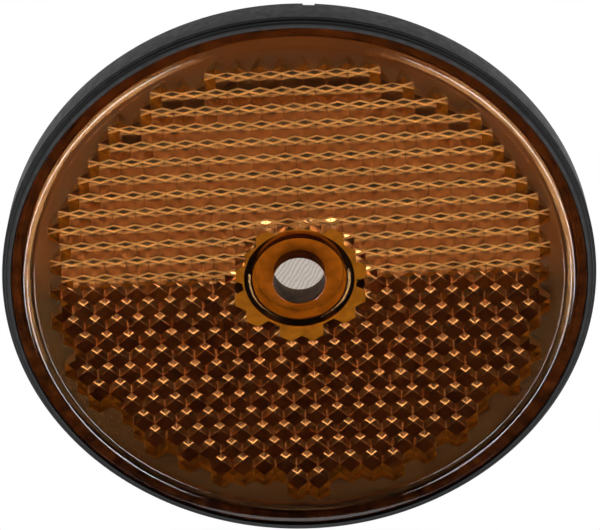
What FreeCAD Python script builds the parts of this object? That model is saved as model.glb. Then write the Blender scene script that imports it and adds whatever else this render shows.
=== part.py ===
"""Round screw-on reflector: an amber cube-corner lens welded into a black housing, in millimetres.

The screw hole's axis is Y and the face looks along -Y, with +Z up. The origin lies on that axis in the
plane that the back rests against. Depths below are measured forward from that plane, so y = -depth.
"""
import FreeCAD, Part
import os
from math import cos, hypot, radians, sin, sqrt, tan

# Housing: a shallow cup with a drafted side wall and a rolled lip
HOUSING_RADIUS = 40.0
REAR_DRAFT = 0.35
SIDE_WALL_HEIGHT = 4.4
LIP_STEP = 0.4
LIP_STEP_RISE = 0.1
LIP_WIDTH = 0.8
LIP_OUTER_DROP = 0.15
LIP_BEVEL = 0.2
LIP_INNER_BEVEL = 0.12
WALL_EDGE_BEVEL = 0.08
FLOOR_THICKNESS = 1.2
FLOOR_HOLE_RADIUS = 5.1
BACK_RECESS = 0.5
REAR_RIM_WIDTH = 2.0
HUB_RING_WIDTH = 3.4
BACK_BEVEL = 0.12
DRAIN_WIDTH = 1.6
DRAIN_ANGLE = 86.0

# Lens: a plate with a ridge and a skirt at its edge, and a boss in a shallow groove round the screw hole
LENS_FIT = 0.1
FACE_DEPTH = 5.4
PLATE_THICKNESS = 0.9
EDGE_BEVEL_WIDTH = 0.5
EDGE_BEVEL_DROP = 0.35
RIDGE_WIDTH = 2.5
RIDGE_HEIGHT = 0.55
RIDGE_OUTER_FLANK = 1.05
RIDGE_INNER_FLANK = 0.75
CREST_ROUNDING = 0.9
RIDGE_BASE_BEVEL = 0.09
SKIRT_WIDTH = 1.6
SCREW_HOLE_RADIUS = 3.5
HOLE_EDGE_BEVEL = 0.12
BOSS_ROOT_RADIUS = 6.35
BOSS_TIP_RADIUS = 5.85
COLLAR_RADIUS = 7.7
COLLAR_GROOVE = 0.15

# Prisms: hexagonal cells of cube corners on the back of the plate, in two half fields
PRISM_PITCH = 2.927
PRISM_ROOT = 0.1
PRISM_OVERLAP = 0.3
FIELD_OUTER_RADIUS = 35.2
FIELD_INNER_RADIUS = 6.6
SEAM_HEIGHT = -0.42
UPPER_FIELD_ACROSS = 0.25
LOWER_FIELD_DROP = 0.48

# Sizes that follow from those above
FLOOR_DEPTH = BACK_RECESS + FLOOR_THICKNESS
LIP_RADIUS = HOUSING_RADIUS - LIP_STEP
LENS_SEAT_RADIUS = LIP_RADIUS - LIP_WIDTH
LENS_RADIUS = LENS_SEAT_RADIUS - LENS_FIT
REAR_RADIUS = HOUSING_RADIUS - REAR_DRAFT
PLATE_BACK = FACE_DEPTH - PLATE_THICKNESS
GROOVE_DEPTH = PLATE_BACK + COLLAR_GROOVE
RIDGE_OUTER_RADIUS = LENS_RADIUS - EDGE_BEVEL_WIDTH
RIDGE_INNER_RADIUS = RIDGE_OUTER_RADIUS - RIDGE_WIDTH
CREST_DEPTH = FACE_DEPTH + RIDGE_HEIGHT
SKIRT_RADIUS = LENS_RADIUS - SKIRT_WIDTH

# How a corner of a turned profile is finished
SHARP, BEVELLED, ROUNDED = range(3)

# Cube corners: their corner points lie on a triangular grid, a third of them at each of three levels
GRID_STEP = PRISM_PITCH / sqrt(3)
CUBE_EDGE = PRISM_PITCH / sqrt(2)
LEVEL_STEP = CUBE_EDGE / sqrt(3)
ROOT_DEPTH = PLATE_BACK - PRISM_ROOT
LEVELS = (ROOT_DEPTH - 2 * LEVEL_STEP, ROOT_DEPTH, ROOT_DEPTH - LEVEL_STEP)
APEX, ROOT, MIDDLE = range(3)
UPPER, LOWER = 1, -1
CELL_CENTRES = {UPPER: MIDDLE, LOWER: ROOT}
FIELD_SHIFTS = {UPPER: (UPPER_FIELD_ACROSS, 0), LOWER: (0, -LOWER_FIELD_DROP)}
NEIGHBOURS = ((1, 0), (0, 1), (-1, 1), (-1, 0), (0, -1), (1, -1))


def eased_profile(corners):
    """A face in the plane z = 0 from (radius, depth, ease, size) corners.

    A corner is left sharp, cut back by a bevel that takes size off each side, or rounded to that radius.
    """
    points = [FreeCAD.Vector(radius, -depth, 0) for radius, depth, ease, size in corners]
    count = len(points)
    ends = []
    for index, point in enumerate(points):
        back = (points[index - 1] - point).normalize()
        ahead = (points[(index + 1) % count] - point).normalize()
        ease, size = corners[index][2:]
        half_angle = back.getAngle(ahead) / 2
        reach = size / tan(half_angle) if ease == ROUNDED else size
        middle = point + (back + ahead).normalize() * (size / sin(half_angle) - size)
        ends.append((ease, point + back * reach, middle, point + ahead * reach))
    edges = []
    for index, (ease, start, middle, end) in enumerate(ends):
        if ease == ROUNDED:
            edges.append(Part.Arc(start, middle, end).toShape())
        elif ease == BEVELLED:
            edges.append(Part.LineSegment(start, end).toShape())
        edges.append(Part.LineSegment(end, ends[(index + 1) % count][1]).toShape())
    return Part.Face(Part.Wire(edges))


def turned(corners):
    """The solid of revolution of a profile about the screw hole's axis."""
    return eased_profile(corners).revolve(FreeCAD.Vector(0, 0, 0), FreeCAD.Vector(0, 1, 0), 360)


def grid_point(column, row, direction):
    """Place of a half field's grid point in the face: columns step at 30 degrees, rows straight up."""
    shift_across, shift_up = FIELD_SHIFTS[direction]
    across = column * GRID_STEP * cos(radians(30))
    up = (column * sin(radians(30)) + row) * GRID_STEP
    return across + shift_across, up + shift_up


def cell_in_field(column, row, direction):
    """True when all six corners of the hexagon round a grid point lie between the field's two circles."""
    corners = [grid_point(column + across, row + up, direction) for across, up in NEIGHBOURS]
    distances = [hypot(*corner) for corner in corners]
    return max(distances) <= FIELD_OUTER_RADIUS and min(distances) >= FIELD_INNER_RADIUS


def corner_level(column, row, direction):
    """Which level a grid point has; the lower half field is the upper one turned upside down and shifted."""
    shift = APEX if direction == UPPER else ROOT
    return (direction * (2 * column + row) + shift) % 3


def half_field(direction):
    """One half field of prisms, which reaches into the plate and ends at the seam and at the collar."""
    reach = int(FIELD_OUTER_RADIUS / GRID_STEP) + 2
    top = PLATE_BACK + PRISM_OVERLAP
    facets = []
    outline = {}

    def vector(corner, depth):
        across, up = grid_point(*corner, direction)
        return FreeCAD.Vector(across, -depth, up)

    def facet(corner):
        return vector(corner, LEVELS[corner_level(*corner, direction)])

    for column in range(-reach, reach + 1):
        for row in range(-2 * reach, 2 * reach + 1):
            height = grid_point(column, row, direction)[1] - SEAM_HEIGHT
            if corner_level(column, row, direction) != CELL_CENTRES[direction]:
                continue
            if direction * height < -GRID_STEP or not cell_in_field(column, row, direction):
                continue
            ring = [(column + across, row + up) for across, up in NEIGHBOURS]
            for index, corner in enumerate(ring):
                following = ring[(index + 1) % len(ring)]
                facets.append([facet((column, row)), facet(following), facet(corner)])
                if outline.pop((following, corner), None) is None:
                    outline[(corner, following)] = True
    walls = []
    for corner, following in outline:
        walls.append([facet(corner), facet(following), vector(following, top), vector(corner, top)])
    faces = [Part.Face(Part.makePolygon(points + points[:1])) for points in facets + walls]
    lids = []
    for loop in outline_loops(list(outline)):
        points = [vector(corner, top) for corner in loop]
        lids.append(Part.makePolygon(points + points[:1]))
    faces.append(Part.Face(sorted(lids, key=lambda wire: -wire.BoundBox.XLength)))
    field = Part.Solid(Part.makeShell(faces))
    if field.Volume < 0:
        field.reverse()
    side = 2 * HOUSING_RADIUS
    keep = Part.makeBox(2 * side, side, side, FreeCAD.Vector(-side, -side, 0))
    if direction == LOWER:
        keep = keep.mirror(FreeCAD.Vector(0, 0, 0), FreeCAD.Vector(0, 0, 1))
    keep.translate(FreeCAD.Vector(0, 0, SEAM_HEIGHT))
    collar = Part.makeCylinder(COLLAR_RADIUS, top, FreeCAD.Vector(0, 0, 0), FreeCAD.Vector(0, -1, 0))
    return field.common(keep).cut(collar)


def outline_loops(edges):
    """Chains the outline's edges into closed loops of grid points."""
    following = dict(edges)
    loops = []
    while following:
        first, corner = following.popitem()
        loop = [first]
        while corner != first:
            loop.append(corner)
            corner = following.pop(corner)
        loops.append(loop)
    return loops


def make_lens():
    body = turned((
        (SCREW_HOLE_RADIUS, FLOOR_DEPTH, SHARP, 0),
        (SCREW_HOLE_RADIUS, FACE_DEPTH, BEVELLED, HOLE_EDGE_BEVEL),
        (RIDGE_INNER_RADIUS, FACE_DEPTH, BEVELLED, RIDGE_BASE_BEVEL),
        (RIDGE_INNER_RADIUS + RIDGE_INNER_FLANK, CREST_DEPTH, ROUNDED, CREST_ROUNDING),
        (RIDGE_OUTER_RADIUS - RIDGE_OUTER_FLANK, CREST_DEPTH, ROUNDED, CREST_ROUNDING),
        (RIDGE_OUTER_RADIUS, FACE_DEPTH, BEVELLED, RIDGE_BASE_BEVEL),
        (LENS_RADIUS, FACE_DEPTH - EDGE_BEVEL_DROP, SHARP, 0),
        (LENS_RADIUS, FLOOR_DEPTH, SHARP, 0),
        (SKIRT_RADIUS, FLOOR_DEPTH, SHARP, 0),
        (SKIRT_RADIUS, PLATE_BACK, SHARP, 0),
        (COLLAR_RADIUS, PLATE_BACK, SHARP, 0),
        (COLLAR_RADIUS, GROOVE_DEPTH, SHARP, 0),
        (BOSS_ROOT_RADIUS, GROOVE_DEPTH, SHARP, 0),
        (BOSS_TIP_RADIUS, FLOOR_DEPTH, SHARP, 0),
    ))
    return body.fuse([half_field(UPPER), half_field(LOWER)]).removeSplitter()


def make_housing():
    body = turned((
        (FLOOR_HOLE_RADIUS, 0, BEVELLED, BACK_BEVEL),
        (FLOOR_HOLE_RADIUS, FLOOR_DEPTH, SHARP, 0),
        (LENS_SEAT_RADIUS, FLOOR_DEPTH, SHARP, 0),
        (LENS_SEAT_RADIUS, FACE_DEPTH, BEVELLED, LIP_INNER_BEVEL),
        (LIP_RADIUS, FACE_DEPTH - LIP_OUTER_DROP, BEVELLED, LIP_BEVEL),
        (LIP_RADIUS, SIDE_WALL_HEIGHT + LIP_STEP_RISE, SHARP, 0),
        (HOUSING_RADIUS, SIDE_WALL_HEIGHT, BEVELLED, WALL_EDGE_BEVEL),
        (REAR_RADIUS, 0, BEVELLED, BACK_BEVEL),
        (REAR_RADIUS - REAR_RIM_WIDTH, 0, BEVELLED, BACK_BEVEL),
        (REAR_RADIUS - REAR_RIM_WIDTH, BACK_RECESS, SHARP, 0),
        (FLOOR_HOLE_RADIUS + HUB_RING_WIDTH, BACK_RECESS, SHARP, 0),
        (FLOOR_HOLE_RADIUS + HUB_RING_WIDTH, 0, BEVELLED, BACK_BEVEL),
    ))
    drain_start = REAR_RADIUS - REAR_RIM_WIDTH - BACK_RECESS
    drain = Part.makeBox(
        HOUSING_RADIUS - drain_start + BACK_RECESS, BACK_RECESS, DRAIN_WIDTH,
        FreeCAD.Vector(drain_start, -BACK_RECESS, -DRAIN_WIDTH / 2),
    )
    drain.rotate(FreeCAD.Vector(0, 0, 0), FreeCAD.Vector(0, -1, 0), DRAIN_ANGLE)
    return body.cut(drain).removeSplitter()


os.makedirs("parts", exist_ok=True)
make_lens().exportStep("parts/lens.step")
make_housing().exportStep("parts/housing.step")
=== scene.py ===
"""Round reflector: an amber lens with cube-corner prisms, welded into a black moulded cup.

The screw hole's axis is Y and the face looks along -Y, with +Z up. Depths are measured forward from the
plane that the back rests against, so y = -depth. Every length is in metres.
"""
import math

import bmesh
import bpy
from mathutils import Matrix, Vector


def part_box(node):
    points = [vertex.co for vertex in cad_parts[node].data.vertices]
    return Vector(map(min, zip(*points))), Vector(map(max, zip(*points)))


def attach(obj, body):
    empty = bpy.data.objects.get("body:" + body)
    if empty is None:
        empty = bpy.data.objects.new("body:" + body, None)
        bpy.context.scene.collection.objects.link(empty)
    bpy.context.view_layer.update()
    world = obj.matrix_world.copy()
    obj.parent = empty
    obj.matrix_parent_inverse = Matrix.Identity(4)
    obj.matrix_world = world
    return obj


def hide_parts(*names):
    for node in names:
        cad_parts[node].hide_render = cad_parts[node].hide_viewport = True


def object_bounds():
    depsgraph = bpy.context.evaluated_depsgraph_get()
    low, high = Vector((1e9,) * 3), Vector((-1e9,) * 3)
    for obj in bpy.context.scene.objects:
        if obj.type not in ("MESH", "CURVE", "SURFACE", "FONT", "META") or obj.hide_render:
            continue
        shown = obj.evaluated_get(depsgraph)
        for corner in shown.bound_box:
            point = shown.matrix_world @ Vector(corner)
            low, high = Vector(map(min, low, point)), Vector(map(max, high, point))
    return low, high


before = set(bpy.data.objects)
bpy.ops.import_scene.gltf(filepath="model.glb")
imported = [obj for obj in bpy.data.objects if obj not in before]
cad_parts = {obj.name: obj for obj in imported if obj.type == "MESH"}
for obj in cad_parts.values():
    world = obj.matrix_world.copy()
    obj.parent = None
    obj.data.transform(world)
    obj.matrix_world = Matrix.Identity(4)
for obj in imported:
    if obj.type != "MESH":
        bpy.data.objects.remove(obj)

bl_info = {
    "name": "Round Reflector",
    "version": (1, 0, 0),
    "blender": (4, 5, 0),
    "location": "3D View > Sidebar > Reflector",
    "description": "Builds a round screw-on reflector and the stage it is shown on",
    "category": "Add Mesh",
}

MM = 0.001
CAD_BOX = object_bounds()
LENS_LOW, LENS_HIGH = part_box("lens")
HOUSING_LOW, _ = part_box("housing")
FLOOR_DEPTH = -LENS_HIGH.y

# Numbers of facets
TURN_STEPS = 256
ROUNDING_SEGMENTS = 5
PRISM_SEGMENTS = 3
CARD_SEGMENTS = 32

# Gaps that keep faces from coinciding
FOOT_GAP = 0.02 * MM
COLLAR_GAP = 0.25 * MM
PRISM_GAP = 0.02 * MM

# Distances and angles that tell one kind of face or edge from another
CUT = 0.0001 * MM
WELD_DISTANCE = 0.001 * MM
HAIR = 0.01 * MM
FIELD_MARGIN = 0.2 * MM
WHOLE_EDGE = 1.2 * MM
OUTLINE_RADIUS = 12.0 * MM
FIELD_MIDDLE = 20.0 * MM
STEEP_LEAN = 0.2
FLAT_ANGLE = math.radians(1.0)
PRISM_ANGLE = math.radians(30.0)
LENS_SMOOTH = math.radians(35.0)
HOUSING_SMOOTH = math.radians(30.0)

# Places of the lens's materials in its list
CLEAR, FROSTED, WELDED, MATT_EDGE = range(4)

# The picture that the camera matches
IMAGE_WIDTH = 600
SENSOR_WIDTH = 36.0
NEAREST_SEEN = 0.01
FARTHEST_SEEN = 20.0


def length(name, description, default):
    """A property that holds a length in metres."""
    return bpy.props.FloatProperty(
        name=name, description=description, default=default, unit="LENGTH", subtype="DISTANCE", precision=5,
    )


def tint(name, description, default):
    """A property that holds a linear colour."""
    return bpy.props.FloatVectorProperty(
        name=name, description=description, default=default, subtype="COLOR", size=3, min=0.0, max=1.0,
    )


def number(name, description, default):
    """A property that holds a plain number."""
    return bpy.props.FloatProperty(name=name, description=description, default=default, precision=4)


def count(name, description, default):
    """A property that holds a whole number."""
    return bpy.props.IntProperty(name=name, description=description, default=default, min=1)


def power(name, description, default):
    """A property that holds a lamp's power in watts."""
    return bpy.props.FloatProperty(name=name, description=description, default=default, unit="POWER")


def angle(name, description, default):
    """A property that holds an angle, given in degrees."""
    return bpy.props.FloatProperty(
        name=name, description=description, default=math.radians(default), subtype="ANGLE", unit="ROTATION",
    )


class ReflectorLens(bpy.types.PropertyGroup):
    """Sizes of the amber lens."""
    radius: length("Radius", "Outside of the lens", LENS_HIGH.x)
    seat: length("Seat", "Depth of the skirt's and the boss's feet", FLOOR_DEPTH + FOOT_GAP)
    crest: length("Crest", "Depth of the top of the edge ridge", -LENS_LOW.y)
    ridge_height: length("Ridge height", "Rise of the edge ridge over the face", 0.55 * MM)
    ridge_width: length("Ridge width", "Width of the edge ridge at its foot", 2.5 * MM)
    outer_flank: length("Outer flank", "Width of the ridge's outer slope", 1.05 * MM)
    inner_flank: length("Inner flank", "Width of the ridge's inner slope", 0.75 * MM)
    crest_rounding: length("Crest rounding", "Reach of the rounding at the crest's corners", 0.22 * MM)
    foot_rounding: length("Foot rounding", "Reach of the rounding at the ridge's feet", 0.1 * MM)
    edge_bevel: length("Edge bevel", "Width of the slope outside the ridge", 0.5 * MM)
    edge_drop: length("Edge drop", "Fall of the slope outside the ridge", 0.35 * MM)
    plate: length("Plate", "Thickness of the plate between face and prisms", 0.9 * MM)
    skirt: length("Skirt", "Thickness of the skirt round the edge", 1.6 * MM)
    skirt_fillet: length("Skirt fillet", "Reach of the fillet inside the skirt", 0.25 * MM)
    hole: length("Screw hole", "Radius of the screw hole", 3.5 * MM)
    hole_rounding: length("Hole rounding", "Reach of the rounding at the hole's front edge", 0.15 * MM)
    boss_root: length("Boss root", "Radius of the boss where it leaves the plate", 6.35 * MM)
    boss_tip: length("Boss tip", "Radius of the boss at its foot", 5.85 * MM)
    boss_fillet: length("Boss fillet", "Reach of the fillet round the boss", 0.25 * MM)
    collar: length("Collar", "Radius of the shallow groove round the boss", 7.7 * MM)
    groove: length("Groove", "How far the groove goes into the plate", 0.15 * MM)
    upper_edge: length("Upper edge", "Width taken off each side of an edge in the upper field", 0.2 * MM)
    lower_edge: length("Lower edge", "Width taken off each side of an edge in the lower field", 0.08 * MM)
    seam: length("Seam", "Height of the seam between the two half fields", -0.42 * MM)


class ReflectorHousing(bpy.types.PropertyGroup):
    """Sizes of the black cup."""
    radius: length("Radius", "Outside of the side wall at its front edge", 40.0 * MM)
    draft: length("Draft", "How much smaller the side wall is at the back", 0.35 * MM)
    wall_height: length("Wall height", "Height of the side wall", 4.4 * MM)
    lip_step: length("Lip step", "How far the lip stands in from the side wall", 0.4 * MM)
    lip_rise: length("Lip rise", "Rise of the step at the lip's foot", 0.1 * MM)
    lip_width: length("Lip width", "Width of the lip round the lens", 0.8 * MM)
    lip_drop: length("Lip drop", "Fall of the lip towards its outside", 0.15 * MM)
    lip_rounding: length("Lip rounding", "Reach of the rounding on the lip's outside", 0.3 * MM)
    lip_depth: length("Lip depth", "Depth of the lip's inner edge", 5.4 * MM)
    edge_rounding: length("Edge rounding", "Reach of the rounding on the other edges", 0.12 * MM)
    recess: length("Recess", "How far the back is hollowed", 0.5 * MM)
    rim: length("Rear rim", "Width of the rim that the back rests on", 2.0 * MM)
    hub: length("Hub ring", "Width of the ring round the hole at the back", 3.4 * MM)
    hole: length("Floor hole", "Radius of the hole in the floor", 5.1 * MM)
    floor: length("Floor", "Depth of the floor's front", FLOOR_DEPTH)
    drain_width: length("Drain width", "Width of the drain slot in the rear rim", 1.6 * MM)
    drain_slope: length("Drain slope", "Width of the drain slot's steep sides", 0.03 * MM)
    drain_angle: angle("Drain angle", "Where the drain slot lies, from the right over the top", 86.0)


class ReflectorFinish(bpy.types.PropertyGroup):
    """Colours and finishes."""
    amber: tint("Amber", "Colour that light takes on at the lens's surfaces", (1.0, 0.62, 0.26))
    amber_dark: number("Amber dark", "Share of the amber where its tone is darkest", 0.95)
    amber_scale: number("Amber scale", "Scale of the amber's change of tone", 90.0)
    amber_depth: tint("Amber depth", "Colour that passes through the lens's thickness", (0.95, 0.45, 0.0))
    amber_density: number("Amber density", "How strongly the lens's thickness absorbs, per metre", 100.0)
    amber_ior: number("Amber IOR", "How strongly the lens bends light", 1.49)
    polish: number("Polish", "Roughness of the lens's face where it is smoothest", 0.02)
    polish_worn: number("Polish worn", "How many times rougher the face is where it is dullest", 2.5)
    polish_scale: number("Polish scale", "Scale of the face's change of polish", 140.0)
    satin: number("Satin", "Roughness of the prisms", 0.15)
    satin_start: length("Satin start", "How far in front of the plate's back the satin begins", 0.08 * MM)
    satin_full: length("Satin full", "How far in front of the plate's back the satin is full", 0.02 * MM)
    frost: tint("Frost", "Colour of the lens's matt lands", (0.62, 0.36, 0.035))
    frost_dark: number("Frost dark", "Share of the frost's colour where it is darkest", 0.7)
    frost_scale: number("Frost scale", "Scale of the frost's change of tone", 700.0)
    weld: tint("Weld", "Colour of the melted foot of the skirt", (0.18, 0.09, 0.04))
    weld_dark: number("Weld dark", "Share of the weld's colour where it is darkest", 0.3)
    weld_scale: number("Weld scale", "Scale of the weld's change of tone", 500.0)
    matt_edge: tint("Matt edge", "Colour of the matt edges in the upper field", (1.0, 0.95, 0.8))
    matt_edge_dark: number("Matt edge dark", "Share of the edges' colour where it is darkest", 0.8)
    matt_edge_scale: number("Matt edge scale", "Scale of the edges' change of tone", 900.0)
    matt_roughness: number("Matt roughness", "Roughness of the matt amber", 0.5)
    matt_specular: number("Matt specular", "How strongly the matt amber mirrors", 0.1)
    black: tint("Black", "Colour of the housing", (0.008, 0.0082, 0.009))
    black_specular: number("Black specular", "How strongly the housing mirrors", 0.3)
    black_smooth: number("Black smooth", "Roughness of the housing where it is smoothest", 0.5)
    black_rough: number("Black rough", "Roughness of the housing where it is roughest", 0.62)
    black_scale: number("Black scale", "Scale of the housing's change of roughness", 900.0)
    grain_scale: number("Grain scale", "Scale of the housing's grain", 2600.0)
    grain_strength: number("Grain strength", "How clearly the housing's grain shows", 0.25)
    grain_height: length("Grain height", "Height of the housing's grain", 0.02 * MM)
    # Painted light: the inside colour is an amber glow painted on the black floor for light coming through
    # the lens; the radii and heights further down paint shade over it near the boss and behind the lower
    # field.
    inside: tint("Inside", "Colour of the floor inside the housing", (0.2, 0.11, 0.06))
    inside_dull: number("Inside dull", "How much rougher the floor inside the housing is", 0.4)
    inside_band: length("Inside band", "How near the floor's depth a place counts as floor", 0.05 * MM)
    glow_start_radius: length("Inside start", "Radius where the floor's tone begins", 8.0 * MM)
    glow_full_radius: length("Inside full", "Radius where the floor's tone is full", 10.0 * MM)
    lower_shade_share: number("Lower share", "How much of the floor's tone shows behind the lower field", 0.25)
    lower_shade_top: length("Lower top", "Height up to which the floor has only the lower share", -4.0 * MM)
    upper_glow_foot: length("Upper foot", "Height from which the floor has its full tone", 3.0 * MM)


class ReflectorStage(bpy.types.PropertyGroup):
    """Camera, light and floor."""
    tilt: angle("Tilt", "How far the camera stands above the screw hole's axis", 30.531)
    roll: angle("Roll", "How far the picture is turned", -1.253)
    spin: angle("Spin", "How far the reflector is turned about its axis in the picture", 1.081)
    distance: length("Distance", "From the camera to the middle of the face", 1.191)
    aim_right: length("Aim right", "How far right of the middle the camera aims", 0.082 * MM)
    aim_up: length("Aim up", "How far above the middle the camera aims", 2.138 * MM)
    face: length("Face depth", "Depth of the lens's face", 5.4 * MM)
    pixels_per_metre: number("Scale", "Pixels of the picture to a metre at the face", 7436.6)
    bounces: count("Bounces", "How often light may bounce, enough for the prisms", 40)
    floor_half: length("Floor half", "Half the width of the floor", 1.5)
    floor_tone: tint("Floor tone", "Colour of the floor in the light it throws back", (0.85, 0.85, 0.85))
    floor_roughness: number("Floor roughness", "Roughness of the floor", 0.8)
    card_radius: length("Card radius", "Radius of the card behind the screw hole", 12.0 * MM)
    card_gap: length("Card gap", "From the reflector's back to the card", 3.0 * MM)
    # The card's colours are painted shade: the card glows with them in place of the shaded surface behind the
    # hole.
    card_dark: tint("Card dark", "Colour between the card's streaks", (0.42, 0.35, 0.29))
    card_pale: tint("Card pale", "Colour of the card's streaks", (0.55, 0.5, 0.45))
    streak_scale: number("Streak scale", "Scale of the card's streaks", 600.0)
    streak_bend: number("Streak bend", "How much the card's streaks waver", 4.0)
    streak_lean: number("Streak lean", "How the card's streaks are stretched across", -1.7)
    room: number("Room", "Brightness of the room in front of the reflector", 0.012)
    white_start: number("White start", "Share of the way backward where the white begins", -0.05)
    white_full: number("White full", "Share of the way backward where the white is full", 0.25)
    softbox_aside: length("Softbox aside", "How far each softbox stands to its side", 0.26)
    softbox_ahead: length("Softbox ahead", "How far the softboxes stand in front", 0.85)
    softbox_below: length("Softbox below", "How far the softboxes' middles lie below the axis", 0.28)
    softbox_width: length("Softbox width", "Width of a softbox", 0.24)
    softbox_height: length("Softbox height", "Height of a softbox", 0.5)
    softbox_power: power("Softbox power", "Power of a softbox", 4.9)


def turned(bm, corners, closed):
    """Spins a profile about the screw hole's axis.

    A corner is (radius, depth, reach), and the reach is how far its rounding runs along both sides.
    """
    verts = [bm.verts.new((radius, -depth, 0.0)) for radius, depth, reach in corners]
    ahead = verts[1:] + verts[:1] if closed else verts[1:]
    for first, second in zip(verts, ahead):
        bm.edges.new((first, second))
    for vert, (radius, depth, reach) in zip(verts, corners):
        if reach > 0.0:
            bmesh.ops.bevel(
                bm, geom=[vert], offset=reach, offset_type="OFFSET", segments=ROUNDING_SEGMENTS,
                profile=0.5, affect="VERTICES", material=-1,
            )
    bmesh.ops.spin(
        bm, geom=bm.verts[:] + bm.edges[:], cent=(0.0, 0.0, 0.0), axis=(0.0, 1.0, 0.0),
        angle=2.0 * math.pi, steps=TURN_STEPS, use_merge=True,
    )
    for facet in bm.faces:
        facet.smooth = True


def linked_object(bm, name, material):
    """Turns a bmesh into an object in the scene, with one material."""
    mesh = bpy.data.meshes.new(name)
    bm.to_mesh(mesh)
    bm.free()
    mesh.materials.append(material)
    thing = bpy.data.objects.new(name, mesh)
    bpy.context.scene.collection.objects.link(thing)
    return thing


def finished(bm, name, material, smooth_angle):
    """Turns a closed bmesh into a piece that rides on the part, with smooth curves and crisp edges."""
    bmesh.ops.recalc_face_normals(bm, faces=bm.faces[:])
    if any(not edge.is_manifold for edge in bm.edges):
        raise RuntimeError(name + " isn't closed")
    for edge in bm.edges:
        curved = all(facet.smooth for facet in edge.link_faces)
        edge.smooth = curved and edge.calc_face_angle() < smooth_angle
    piece = linked_object(bm, name, material)
    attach(piece, "root")
    return piece


def radius_of(vert):
    """Distance of a vertex from the screw hole's axis."""
    return math.hypot(vert.co.x, vert.co.z)


def new_material(name):
    """A new material, its node tree and its shader."""
    material = bpy.data.materials.new(name)
    material.use_nodes = True
    return material, material.node_tree, material.node_tree.nodes["Principled BSDF"]


def feed(tree, socket, value):
    """Links a socket to another node's output, or sets it where a plain value is given."""
    if isinstance(value, bpy.types.NodeSocket):
        tree.links.new(value, socket)
    else:
        socket.default_value = value


def worked_out(tree, operation, *values, clamp=False):
    """The output of a Math node."""
    node = tree.nodes.new("ShaderNodeMath")
    node.operation = operation
    node.use_clamp = clamp
    for socket, value in zip(node.inputs, values):
        feed(tree, socket, value)
    return node.outputs["Value"]


def spread(tree, value, start, full, low=0.0, high=1.0):
    """A value that goes from low to high while another one goes from start to full."""
    node = tree.nodes.new("ShaderNodeMapRange")
    feed(tree, node.inputs["Value"], value)
    feed(tree, node.inputs["From Min"], start)
    feed(tree, node.inputs["From Max"], full)
    feed(tree, node.inputs["To Min"], low)
    feed(tree, node.inputs["To Max"], high)
    return node.outputs["Result"]


def blended(tree, share, first, second):
    """A colour that goes from the first to the second with a share."""
    node = tree.nodes.new("ShaderNodeMix")
    node.data_type = "RGBA"
    feed(tree, node.inputs["Factor"], share)
    node.inputs["A"].default_value = (*first, 1.0)
    node.inputs["B"].default_value = (*second, 1.0)
    return node.outputs["Result"]


def either(tree, share, first, second):
    """A shader that is the first where the share is 0 and the second where it is 1."""
    node = tree.nodes.new("ShaderNodeMixShader")
    tree.links.new(share, node.inputs["Fac"])
    tree.links.new(first, node.inputs[1])
    tree.links.new(second, node.inputs[2])
    return node.outputs["Shader"]


def own_place(tree):
    """The piece's own coordinates, whole and by axis."""
    place = tree.nodes.new("ShaderNodeTexCoord")
    split = tree.nodes.new("ShaderNodeSeparateXYZ")
    tree.links.new(place.outputs["Object"], split.inputs["Vector"])
    return place.outputs["Object"], split.outputs


def axis_distance(tree, place):
    """How far a place lies from the screw hole's axis."""
    flat = tree.nodes.new("ShaderNodeVectorMath")
    flat.operation = "MULTIPLY"
    flat.inputs[1].default_value = (1.0, 0.0, 1.0)
    tree.links.new(place, flat.inputs[0])
    reach = tree.nodes.new("ShaderNodeVectorMath")
    reach.operation = "LENGTH"
    tree.links.new(flat.outputs["Vector"], reach.inputs[0])
    return reach.outputs["Value"]


def speckle_group():
    """The node group that every plastic here shares: a noise, spread between two values."""
    name = "plastic_speckle"
    if name in bpy.data.node_groups:
        return bpy.data.node_groups[name]
    group = bpy.data.node_groups.new(name, "ShaderNodeTree")
    for socket in ("Scale", "Low", "High"):
        group.interface.new_socket(name=socket, in_out="INPUT", socket_type="NodeSocketFloat")
    group.interface.new_socket(name="Value", in_out="OUTPUT", socket_type="NodeSocketFloat")
    given = group.nodes.new("NodeGroupInput")
    result = group.nodes.new("NodeGroupOutput")
    place = group.nodes.new("ShaderNodeTexCoord")
    noise = group.nodes.new("ShaderNodeTexNoise")
    noise.inputs["Detail"].default_value = 3.0
    group.links.new(place.outputs["Object"], noise.inputs["Vector"])
    group.links.new(given.outputs["Scale"], noise.inputs["Scale"])
    value = spread(group, noise.outputs["Fac"], 0.35, 0.65, given.outputs["Low"], given.outputs["High"])
    group.links.new(value, result.inputs["Value"])
    return group


def speckle(tree, scale, low, high):
    """Places the shared speckle in a material, with its own scale and values."""
    node = tree.nodes.new("ShaderNodeGroup")
    node.node_tree = speckle_group()
    node.inputs["Scale"].default_value = scale
    node.inputs["Low"].default_value = low
    node.inputs["High"].default_value = high
    return node.outputs["Value"]


def wandering_tone(tree, colour, dark, scale):
    """A colour that wanders between a share of itself and the full colour."""
    return blended(tree, speckle(tree, scale, 0.0, 1.0), [dark * part for part in colour], colour)


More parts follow.
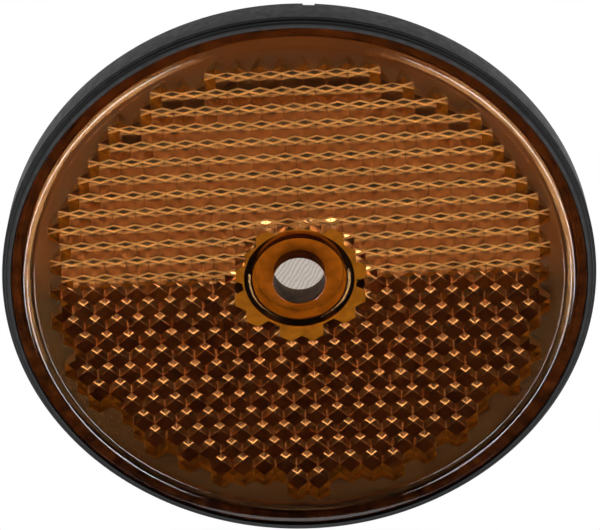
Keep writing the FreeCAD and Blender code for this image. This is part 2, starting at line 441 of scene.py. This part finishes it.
def amber_plastic(finish, back):
    """Clear amber moulded plastic, polished on the face and satin on the prisms."""
    material, tree, shader = new_material("amber_plastic")
    shader.inputs["Transmission Weight"].default_value = 1.0
    shader.inputs["IOR"].default_value = finish.amber_ior
    tone = wandering_tone(tree, finish.amber, finish.amber_dark, finish.amber_scale)
    tree.links.new(tone, shader.inputs["Base Color"])
    place, axes = own_place(tree)
    polish = speckle(tree, finish.polish_scale, finish.polish, finish.polish_worn * finish.polish)
    satin_start = -back - finish.satin_start
    satin_full = -back - finish.satin_full
    roughness = spread(tree, axes["Y"], satin_start, satin_full, polish, finish.satin)
    tree.links.new(roughness, shader.inputs["Roughness"])
    absorb = tree.nodes.new("ShaderNodeVolumeAbsorption")
    absorb.inputs["Color"].default_value = (*finish.amber_depth, 1.0)
    absorb.inputs["Density"].default_value = finish.amber_density
    tree.links.new(absorb.outputs["Volume"], tree.nodes["Material Output"].inputs["Volume"])
    return material


def matt_amber(name, finish, colour, dark, scale):
    """Matt amber plastic with a wandering tone."""
    material, tree, shader = new_material(name)
    shader.inputs["Roughness"].default_value = finish.matt_roughness
    shader.inputs["Specular IOR Level"].default_value = finish.matt_specular
    tree.links.new(wandering_tone(tree, colour, dark, scale), shader.inputs["Base Color"])
    return material


def black_plastic(finish, seat, wall):
    """Black moulded plastic with a fine grain; the floor behind the prisms carries a painted amber glow for
    light from the lens, with painted shade near the boss and behind the lower field.
    """
    material, tree, shader = new_material("black_plastic")
    shader.inputs["Specular IOR Level"].default_value = finish.black_specular
    place, axes = own_place(tree)
    reach = axis_distance(tree, place)
    # The floor behind the prisms gets a painted amber glow for light coming through the lens, which is left
    # off near the boss as painted shade.
    level = worked_out(tree, "COMPARE", axes["Y"], -seat, finish.inside_band)
    within = worked_out(tree, "LESS_THAN", reach, wall)
    inner = worked_out(tree, "MULTIPLY", level, within)
    clear_of_boss_shade = spread(tree, reach, finish.glow_start_radius, finish.glow_full_radius)
    ring = worked_out(tree, "MULTIPLY", inner, clear_of_boss_shade)
    # Painted shade: the glow is weaker behind the lower field, whose prisms send less light onto the floor.
    half_shade = spread(tree, axes["Z"], finish.lower_shade_top, finish.upper_glow_foot, finish.lower_shade_share)
    painted_glow = worked_out(tree, "MULTIPLY", ring, half_shade)
    tree.links.new(blended(tree, painted_glow, finish.black, finish.inside), shader.inputs["Base Color"])
    sheen = speckle(tree, finish.black_scale, finish.black_smooth, finish.black_rough)
    dull = worked_out(tree, "MULTIPLY_ADD", inner, finish.inside_dull, sheen)
    tree.links.new(dull, shader.inputs["Roughness"])
    grain = tree.nodes.new("ShaderNodeBump")
    grain.inputs["Strength"].default_value = finish.grain_strength
    grain.inputs["Distance"].default_value = finish.grain_height
    tree.links.new(speckle(tree, finish.grain_scale, 0.0, 1.0), grain.inputs["Height"])
    tree.links.new(grain.outputs["Normal"], shader.inputs["Normal"])
    return material


class REFLECTOR_OT_lens(bpy.types.Operator):
    """Builds the lens: a turned plate with ridge, skirt and boss, and the prisms on its back"""
    bl_idname = "reflector.lens"
    bl_label = "Lens"

    def execute(self, context):
        sizes = context.scene.reflector_lens
        finish = context.scene.reflector_finish
        bm = bmesh.new()
        face = sizes.crest - sizes.ridge_height
        back = face - sizes.plate
        ridge_outer = sizes.radius - sizes.edge_bevel
        ridge_inner = ridge_outer - sizes.ridge_width
        skirt = sizes.radius - sizes.skirt
        turned(bm, (
            (skirt - 2.0 * sizes.skirt_fillet, back, 0.0),
            (skirt, back, sizes.skirt_fillet),
            (skirt, sizes.seat, 0.0),
            (sizes.radius, sizes.seat, 0.0),
            (sizes.radius, face - sizes.edge_drop, 0.0),
            (ridge_outer, face, sizes.foot_rounding),
            (ridge_outer - sizes.outer_flank, sizes.crest, sizes.crest_rounding),
            (ridge_inner + sizes.inner_flank, sizes.crest, sizes.crest_rounding),
            (ridge_inner, face, sizes.foot_rounding),
            (sizes.hole, face, sizes.hole_rounding),
            (sizes.hole, sizes.seat, 0.0),
            (sizes.boss_tip, sizes.seat, 0.0),
            (sizes.boss_root, back + sizes.groove, sizes.boss_fillet),
            (sizes.collar - COLLAR_GAP, back + sizes.groove, 0.0),
            (sizes.collar - COLLAR_GAP, back, 0.0),
        ), closed=False)
        self.add_prisms(bm, sizes, back, skirt)
        self.close_back(bm, sizes, back)
        piece = finished(bm, "amber_lens", amber_plastic(finish, back), LENS_SMOOTH)
        for material in (
            matt_amber("frosted_amber", finish, finish.frost, finish.frost_dark, finish.frost_scale),
            matt_amber("welded_amber", finish, finish.weld, finish.weld_dark, finish.weld_scale),
            matt_amber("matt_edge", finish, finish.matt_edge, finish.matt_edge_dark, finish.matt_edge_scale),
        ):
            piece.data.materials.append(material)
        piece.modifiers.new("steady_facets", "WEIGHTED_NORMAL").keep_sharp = True
        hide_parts("lens")
        return {"FINISHED"}

    def add_prisms(self, bm, sizes, back, skirt):
        """Takes the prisms from a copy of the lens, joins their facets and rounds their edges."""
        prisms = bmesh.new()
        prisms.from_mesh(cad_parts["lens"].data)
        bmesh.ops.remove_doubles(prisms, verts=prisms.verts[:], dist=WELD_DISTANCE)
        bmesh.ops.bisect_plane(
            prisms, geom=prisms.verts[:] + prisms.edges[:] + prisms.faces[:], dist=CUT,
            plane_co=(0.0, -back + PRISM_GAP, 0.0), plane_no=(0.0, -1.0, 0.0), clear_outer=True,
        )
        spare = []
        for facet in prisms.faces:
            radii = [radius_of(vert) for vert in facet.verts]
            if min(radii) < sizes.boss_root + FIELD_MARGIN or max(radii) > skirt - FIELD_MARGIN:
                spare.append(facet)
        bmesh.ops.delete(prisms, geom=spare, context="FACES")
        bmesh.ops.dissolve_limit(
            prisms, angle_limit=FLAT_ANGLE, verts=prisms.verts[:], edges=prisms.edges[:],
        )
        for facet in prisms.faces:
            steep = abs(facet.normal.y) < STEEP_LEAN
            outline = steep and radius_of(facet.verts[0]) > OUTLINE_RADIUS
            facet.material_index = FROSTED if outline else CLEAR
        self.round_edges(prisms, sizes.seam, sizes.upper_edge, True)
        self.round_edges(prisms, sizes.seam, sizes.lower_edge, False)
        mesh = bpy.data.meshes.new("prisms")
        prisms.to_mesh(mesh)
        prisms.free()
        bm.from_mesh(mesh)
        bpy.data.meshes.remove(mesh)

    def round_edges(self, prisms, seam, width, upper):
        """Rounds the prisms' edges in one half of the field; the upper half's upright edges stay crisp."""
        sharp = []
        for edge in prisms.edges:
            first, second = edge.verts
            if len(edge.link_faces) != 2 or ((first.co.z + second.co.z) / 2.0 > seam) != upper:
                continue
            leans = [abs(facet.normal.y) for facet in edge.link_faces]
            whole = edge.calc_length() > WHOLE_EDGE
            crisp = upper and abs(first.co.x - second.co.x) < HAIR
            if whole and not crisp and min(leans) > STEEP_LEAN and edge.calc_face_angle() > PRISM_ANGLE:
                sharp.append(edge)
        rounded = bmesh.ops.bevel(
            prisms, geom=sharp, offset=width, offset_type="OFFSET", segments=PRISM_SEGMENTS, profile=0.5,
            affect="EDGES", clamp_overlap=False, material=-1,
        )
        for facet in rounded["faces"]:
            if upper:
                facet.material_index = MATT_EDGE

    def close_back(self, bm, sizes, back):
        """Fills the plate's back between prisms, boss and skirt, and gives the matt faces their materials."""
        for facet in bm.faces:
            facet.smooth = True
        border = [edge for edge in bm.edges if edge.is_boundary]
        for edge in border:
            for vert in edge.verts:
                vert.co.y = -back
        for near in (True, False):
            ring = [edge for edge in border if (radius_of(edge.verts[0]) < FIELD_MIDDLE) == near]
            filled = bmesh.ops.triangle_fill(bm, use_beauty=True, use_dissolve=False, edges=ring)
            for part in filled["geom"]:
                if near and isinstance(part, bmesh.types.BMFace):
                    part.material_index = FROSTED
        for facet in bm.faces:
            foot = all(abs(vert.co.y + sizes.seat) < HAIR for vert in facet.verts)
            radii = [radius_of(vert) for vert in facet.verts]
            outside = min(radii) > sizes.radius - HAIR
            bore = max(radii) < sizes.hole + HAIR
            if foot and radii[0] < FIELD_MIDDLE:
                facet.material_index = FROSTED
            elif foot or outside or bore:
                facet.material_index = WELDED


class REFLECTOR_OT_housing(bpy.types.Operator):
    """Builds the housing: a turned cup with a rolled lip and a hollowed back"""
    bl_idname = "reflector.housing"
    bl_label = "Housing"

    def execute(self, context):
        sizes = context.scene.reflector_housing
        bm = bmesh.new()
        lip_radius = sizes.radius - sizes.lip_step
        seat_radius = lip_radius - sizes.lip_width
        rear = sizes.radius - sizes.draft
        turned(bm, (
            (sizes.hole, 0.0, sizes.edge_rounding),
            (sizes.hole, sizes.floor, 0.0),
            (seat_radius, sizes.floor, 0.0),
            (seat_radius, sizes.lip_depth, sizes.edge_rounding),
            (lip_radius, sizes.lip_depth - sizes.lip_drop, sizes.lip_rounding),
            (lip_radius, sizes.wall_height + sizes.lip_rise, 0.0),
            (sizes.radius, sizes.wall_height, sizes.edge_rounding),
            (rear, 0.0, sizes.edge_rounding),
            (rear - sizes.rim, 0.0, sizes.edge_rounding),
            (rear - sizes.rim, sizes.recess, sizes.edge_rounding),
            (sizes.hole + sizes.hub, sizes.recess, sizes.edge_rounding),
            (sizes.hole + sizes.hub, 0.0, sizes.edge_rounding),
        ), closed=True)
        self.cut_drain(bm, sizes)
        material = black_plastic(context.scene.reflector_finish, sizes.floor, seat_radius)
        piece = finished(bm, "black_housing", material, HOUSING_SMOOTH)
        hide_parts("housing")
        return {"FINISHED"}

    def cut_drain(self, bm, sizes):
        """Sinks a drain slot into the rim that the back rests on."""
        out = Vector((math.cos(sizes.drain_angle), 0.0, math.sin(sizes.drain_angle)))
        across = Vector((-out.z, 0.0, out.x))
        half = sizes.drain_width / 2.0
        slope = sizes.drain_slope
        inside_rim = 0.8 * sizes.radius
        clean = 0.0005 * MM
        for offset in (-half, -half + slope, half - slope, half):
            near = [facet for facet in bm.faces if facet.calc_center_median().dot(out) > inside_rim]
            edges = {edge for facet in near for edge in facet.edges}
            verts = {vert for facet in near for vert in facet.verts}
            bmesh.ops.bisect_plane(
                bm, geom=near + list(edges) + list(verts), dist=CUT,
                plane_co=across * offset, plane_no=across,
            )
        for vert in bm.verts:
            between = abs(vert.co.dot(across)) < half - slope + HAIR
            if between and vert.co.dot(out) > inside_rim and vert.co.y > -sizes.recess:
                vert.co.y = -sizes.recess
        bmesh.ops.remove_doubles(bm, verts=bm.verts[:], dist=clean)
        bmesh.ops.dissolve_degenerate(bm, dist=clean, edges=bm.edges[:])


class REFLECTOR_OT_stage(bpy.types.Operator):
    """Builds the camera, the floor, the card behind the hole, the world and the softboxes"""
    bl_idname = "reflector.stage"
    bl_label = "Stage"

    def execute(self, context):
        scene = context.scene
        settings = scene.reflector_stage
        scene.view_settings.view_transform = "Standard"
        scene.cycles.max_bounces = settings.bounces
        scene.cycles.glossy_bounces = settings.bounces
        scene.cycles.transmission_bounces = settings.bounces
        self.add_camera(scene, settings)
        self.add_floor(settings)
        self.add_card(settings)
        self.add_world(scene, settings)
        self.add_softbox(scene, settings, "softbox_left", -settings.softbox_aside)
        self.add_softbox(scene, settings, "softbox_right", settings.softbox_aside)
        return {"FINISHED"}

    def add_camera(self, scene, settings):
        """A long lens above the axis, turned so that the reflector lies as in the picture."""
        tilt, roll, spin = settings.tilt, settings.roll, settings.spin
        away = Vector((
            math.sin(tilt) * math.sin(spin), -math.cos(tilt), math.sin(tilt) * math.cos(spin),
        ))
        level_right = Vector((math.cos(spin), 0.0, -math.sin(spin)))
        level_up = away.cross(level_right)
        right = level_right * math.cos(roll) + level_up * math.sin(roll)
        up = away.cross(right)
        place = Vector((0.0, -settings.face, 0.0)) + away * settings.distance
        place += right * settings.aim_right + up * settings.aim_up
        turn = Matrix((right, up, away)).transposed().to_4x4()
        data = bpy.data.cameras.new("camera")
        data.sensor_width = SENSOR_WIDTH
        data.lens = settings.pixels_per_metre * settings.distance * SENSOR_WIDTH / IMAGE_WIDTH
        data.clip_start = NEAREST_SEEN
        data.clip_end = FARTHEST_SEEN
        camera = bpy.data.objects.new("camera", data)
        camera.matrix_world = Matrix.Translation(place) @ turn
        scene.collection.objects.link(camera)
        scene.camera = camera

    def add_floor(self, settings):
        """A pale flat floor that the reflector stands on, from under its face to far behind it."""
        bm = bmesh.new()
        half = settings.floor_half
        bmesh.ops.create_grid(
            bm, x_segments=1, y_segments=1, size=half,
            matrix=Matrix.Translation((0.0, CAD_BOX[0][1] + half, HOUSING_LOW.z)),
        )
        linked_object(bm, "floor", pale_floor(settings))

    def add_card(self, settings):
        """A shaded card close behind the screw hole, which shows from the front only."""
        bm = bmesh.new()
        upright = Matrix.Rotation(math.radians(90.0), 4, "X")
        bmesh.ops.create_circle(
            bm, cap_ends=True, segments=CARD_SEGMENTS, radius=settings.card_radius,
            matrix=Matrix.Translation((0.0, settings.card_gap, 0.0)) @ upright,
        )
        linked_object(bm, "card", shaded_card(settings))

    def add_world(self, scene, settings):
        """White to the camera and behind the reflector, and dim in front of it."""
        world = bpy.data.worlds.new("studio")
        world.use_nodes = True
        tree = world.node_tree
        place = tree.nodes.new("ShaderNodeTexCoord")
        split = tree.nodes.new("ShaderNodeSeparateXYZ")
        tree.links.new(place.outputs["Generated"], split.inputs["Vector"])
        dim = tree.nodes["Background"]
        dim.inputs["Color"].default_value = (settings.room, settings.room, settings.room, 1.0)
        white = tree.nodes.new("ShaderNodeBackground")
        white.inputs["Color"].default_value = (1.0, 1.0, 1.0, 1.0)
        rays = tree.nodes.new("ShaderNodeLightPath")
        behind = spread(tree, split.outputs["Y"], settings.white_start, settings.white_full)
        share = worked_out(tree, "MAXIMUM", behind, rays.outputs["Is Camera Ray"])
        surface = either(tree, share, dim.outputs["Background"], white.outputs["Background"])
        tree.links.new(surface, tree.nodes["World Output"].inputs["Surface"])
        scene.world = world

    def add_softbox(self, scene, settings, name, aside):
        """An upright rectangular softbox that faces the reflector."""
        data = bpy.data.lights.new(name, "AREA")
        data.shape = "RECTANGLE"
        data.size = settings.softbox_width
        data.size_y = settings.softbox_height
        data.energy = settings.softbox_power
        place = Vector((aside, -settings.softbox_ahead, -settings.softbox_below))
        lamp = bpy.data.objects.new(name, data)
        lamp.visible_camera = False
        lamp.matrix_world = Matrix.Translation(place) @ place.to_track_quat("Z", "Y").to_matrix().to_4x4()
        scene.collection.objects.link(lamp)


def sees_background(tree):
    """One for the camera's rays and for mirrored and refracted ones, which meet the plain background."""
    rays = tree.nodes.new("ShaderNodeLightPath")
    shine = worked_out(tree, "MAXIMUM", rays.outputs["Is Glossy Ray"], rays.outputs["Is Transmission Ray"])
    return worked_out(tree, "MAXIMUM", rays.outputs["Is Camera Ray"], shine)


def pale_floor(settings):
    """Pale floor that is plain white to the camera and in glass, and pale in the light it throws back."""
    material, tree, shader = new_material("pale_floor")
    shader.inputs["Base Color"].default_value = (*settings.floor_tone, 1.0)
    shader.inputs["Roughness"].default_value = settings.floor_roughness
    glow = tree.nodes.new("ShaderNodeEmission")
    surface = either(tree, sees_background(tree), shader.outputs["BSDF"], glow.outputs["Emission"])
    tree.links.new(surface, tree.nodes["Material Output"].inputs["Surface"])
    return material


def shaded_card(settings):
    """Glowing grey-beige card with slanting streaks, a painted shade of the surface seen through the hole,
    clear from behind and to the rays that light the part.
    """
    material, tree, shader = new_material("shaded_card")
    tree.nodes.remove(shader)
    place = tree.nodes.new("ShaderNodeTexCoord")
    lean = tree.nodes.new("ShaderNodeMapping")
    lean.inputs["Scale"].default_value = (settings.streak_lean, 1.0, 1.0)
    tree.links.new(place.outputs["Object"], lean.inputs["Vector"])
    streaks = tree.nodes.new("ShaderNodeTexWave")
    streaks.bands_direction = "DIAGONAL"
    streaks.inputs["Scale"].default_value = settings.streak_scale
    streaks.inputs["Distortion"].default_value = settings.streak_bend
    tree.links.new(lean.outputs["Vector"], streaks.inputs["Vector"])
    # The card glows in painted shade, standing in for the shaded surface behind the hole.
    glow = tree.nodes.new("ShaderNodeEmission")
    tone = blended(tree, streaks.outputs["Fac"], settings.card_dark, settings.card_pale)
    tree.links.new(tone, glow.inputs["Color"])
    clear = tree.nodes.new("ShaderNodeBsdfTransparent")
    side = tree.nodes.new("ShaderNodeNewGeometry")
    front = worked_out(tree, "SUBTRACT", sees_background(tree), side.outputs["Backfacing"], clamp=True)
    surface = either(tree, front, clear.outputs["BSDF"], glow.outputs["Emission"])
    tree.links.new(surface, tree.nodes["Material Output"].inputs["Surface"])
    return material


class REFLECTOR_PT_sidebar(bpy.types.Panel):
    """Sidebar panel with the operators and their sizes"""
    bl_idname = "REFLECTOR_PT_sidebar"
    bl_label = "Round Reflector"
    bl_space_type = "VIEW_3D"
    bl_region_type = "UI"
    bl_category = "Reflector"

    def draw(self, context):
        for group in GROUPS:
            box = self.layout.box()
            sizes = getattr(context.scene, group)
            for name in sizes.__annotations__:
                box.prop(sizes, name)
        for operator in OPERATORS:
            self.layout.operator(operator.bl_idname)


GROUPS = {
    "reflector_lens": ReflectorLens,
    "reflector_housing": ReflectorHousing,
    "reflector_finish": ReflectorFinish,
    "reflector_stage": ReflectorStage,
}
OPERATORS = (REFLECTOR_OT_lens, REFLECTOR_OT_housing, REFLECTOR_OT_stage)


def register():
    """Registers the sizes, the operators and the panel."""
    for name, group in GROUPS.items():
        bpy.utils.register_class(group)
        setattr(bpy.types.Scene, name, bpy.props.PointerProperty(type=group))
    for operator in OPERATORS:
        bpy.utils.register_class(operator)
    bpy.utils.register_class(REFLECTOR_PT_sidebar)


def unregister():
    """Takes away what register adds, in reverse order."""
    bpy.utils.unregister_class(REFLECTOR_PT_sidebar)
    for operator in reversed(OPERATORS):
        bpy.utils.unregister_class(operator)
    for name, group in reversed(GROUPS.items()):
        delattr(bpy.types.Scene, name)
        bpy.utils.unregister_class(group)


def main():
    """Builds the reflector and its stage."""
    register()
    bpy.ops.reflector.lens()
    bpy.ops.reflector.housing()
    bpy.ops.reflector.stage()


if __name__ == "__main__":
    main()
